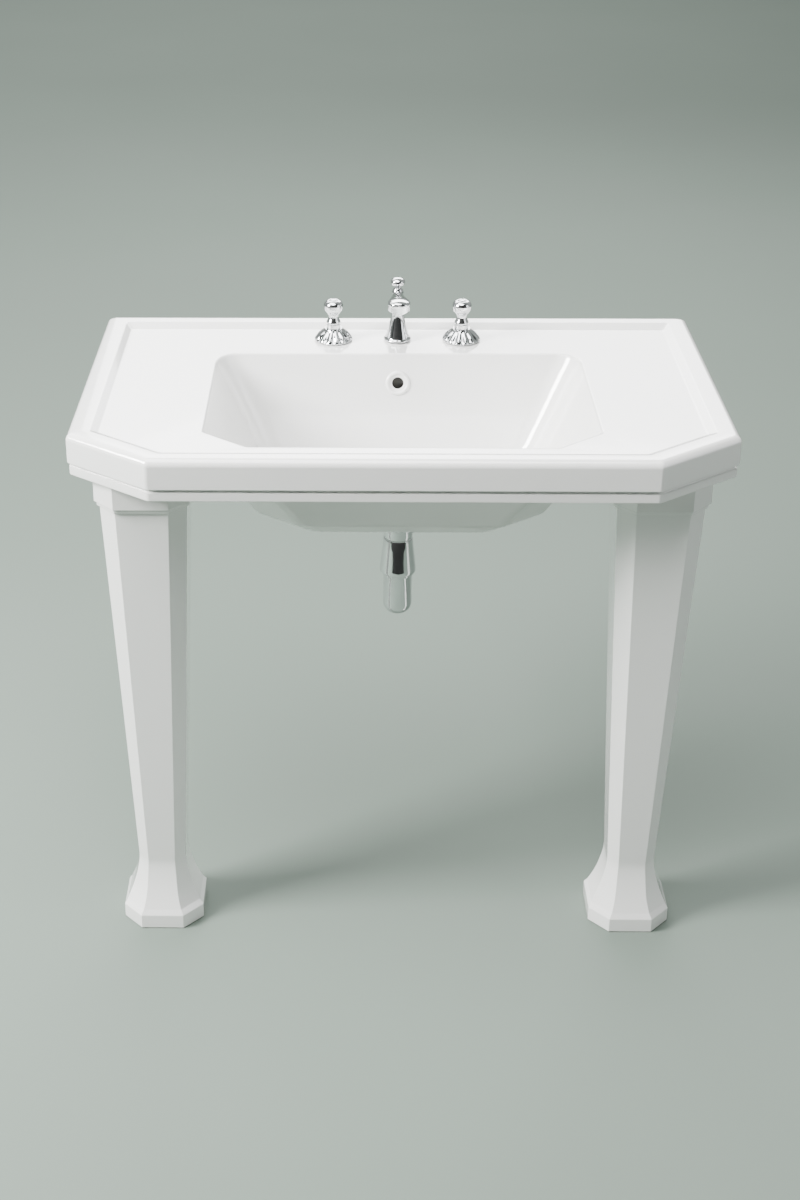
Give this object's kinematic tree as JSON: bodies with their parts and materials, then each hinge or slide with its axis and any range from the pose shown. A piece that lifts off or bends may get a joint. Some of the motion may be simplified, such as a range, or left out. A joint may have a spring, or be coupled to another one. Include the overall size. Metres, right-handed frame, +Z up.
{
  "type": "console washbasin",
  "caption": "Console washbasin on octagonal ceramic legs with a deck mixer, pop-up waste and bottle trap.",
  "frame": {"origin": "on the floor, in the middle of the bounding box, which is the middle of the width", "axes": "+X to the user's right, +Y into the wall, +Z up; the wall face of the basin is at y = 0.250 m"},
  "size_m": [0.93, 0.6, 0.923],
  "materials": {
    "ceramic": "white gloss glaze over fireclay",
    "chrome": "bright chrome plate on brass",
    "steel": "plain stainless steel",
    "brass": "bare machined brass",
    "copper": "plain drawn copper tube",
    "rubber": "matt black rubber",
    "nylon": "natural nylon"
  },
  "bodies": {
    "washbasin": {"basin": "ceramic", "leg_left": "ceramic", "leg_right": "ceramic", "leg_pads": "rubber", "leg_dowels": "nylon", "wall_studs": "steel", "wall_sleeves": "nylon", "wall_washers": "steel", "wall_nuts": "steel", "spout_body": "chrome", "spout_gasket": "rubber", "spout_washer": "brass", "spout_nut": "brass", "aerator_housing": "chrome", "aerator_insert": "nylon", "mixing_tee": "brass", "hot_skirt": "chrome", "hot_valve": "brass", "hot_cartridge": "nylon", "cold_skirt": "chrome", "cold_valve": "brass", "cold_cartridge": "nylon", "valve_gaskets": "rubber", "valve_washers": "brass", "valve_nuts": "brass", "hot_link_tube": "copper", "cold_link_tube": "copper", "link_nuts": "brass", "overflow_ring": "ceramic", "waste_flange": "chrome", "waste_seal": "rubber", "waste_body": "chrome", "waste_gasket": "rubber", "waste_nut": "chrome", "pivot_nut": "chrome", "tail_pipe": "chrome", "trap_inlet_nut": "chrome", "trap_body": "chrome", "trap_cup": "chrome", "trap_cup_seal": "rubber", "trap_outlet_nut": "chrome", "outlet_pipe": "chrome", "wall_rosette": "chrome"},
    "hot_handle": {"hot_spindle": "brass", "hot_handle": "chrome", "hot_index": "chrome", "hot_screw": "steel"},
    "cold_handle": {"cold_spindle": "brass", "cold_handle": "chrome", "cold_index": "chrome", "cold_screw": "steel"},
    "lift_rod": {"lift_knob": "chrome", "lift_rod": "chrome", "lift_strap": "steel", "strap_screw": "steel"},
    "pivot_rod": {"pivot_rod": "steel"},
    "plug": {"plug": "chrome", "plug_seal": "rubber"}
  },
  "joints": [
    {"name": "hot_handle_turn", "type": "hinge", "parent": "washbasin", "child": "hot_handle", "pos_m": [-0.1, 0.169, 0.862], "axis": [0, 0, 1], "range_deg": [0, 90]},
    {"name": "cold_handle_turn", "type": "hinge", "parent": "washbasin", "child": "cold_handle", "pos_m": [0.1, 0.169, 0.862], "axis": [0, 0, 1], "range_deg": [-90, 0]},
    {"name": "lift_rod_slide", "type": "slide", "parent": "washbasin", "child": "lift_rod", "axis": [0, 0, 1], "range_m": [0, 0.035]},
    {"name": "pivot_rod_tilt", "type": "hinge", "parent": "washbasin", "child": "pivot_rod", "pos_m": [0, -0.022, 0.611], "axis": [1, 0, 0], "range_deg": [0, 9.7]},
    {"name": "plug_slide", "type": "slide", "parent": "washbasin", "child": "plug", "axis": [0, 0, -1], "range_m": [0, 0.0054]}
  ],
  "couplings": [
    {"joint": "pivot_rod_tilt", "follows": "lift_rod_slide", "rad_per_m": 4.785},
    {"joint": "plug_slide", "follows": "lift_rod_slide", "ratio": 0.1531}
  ]
}
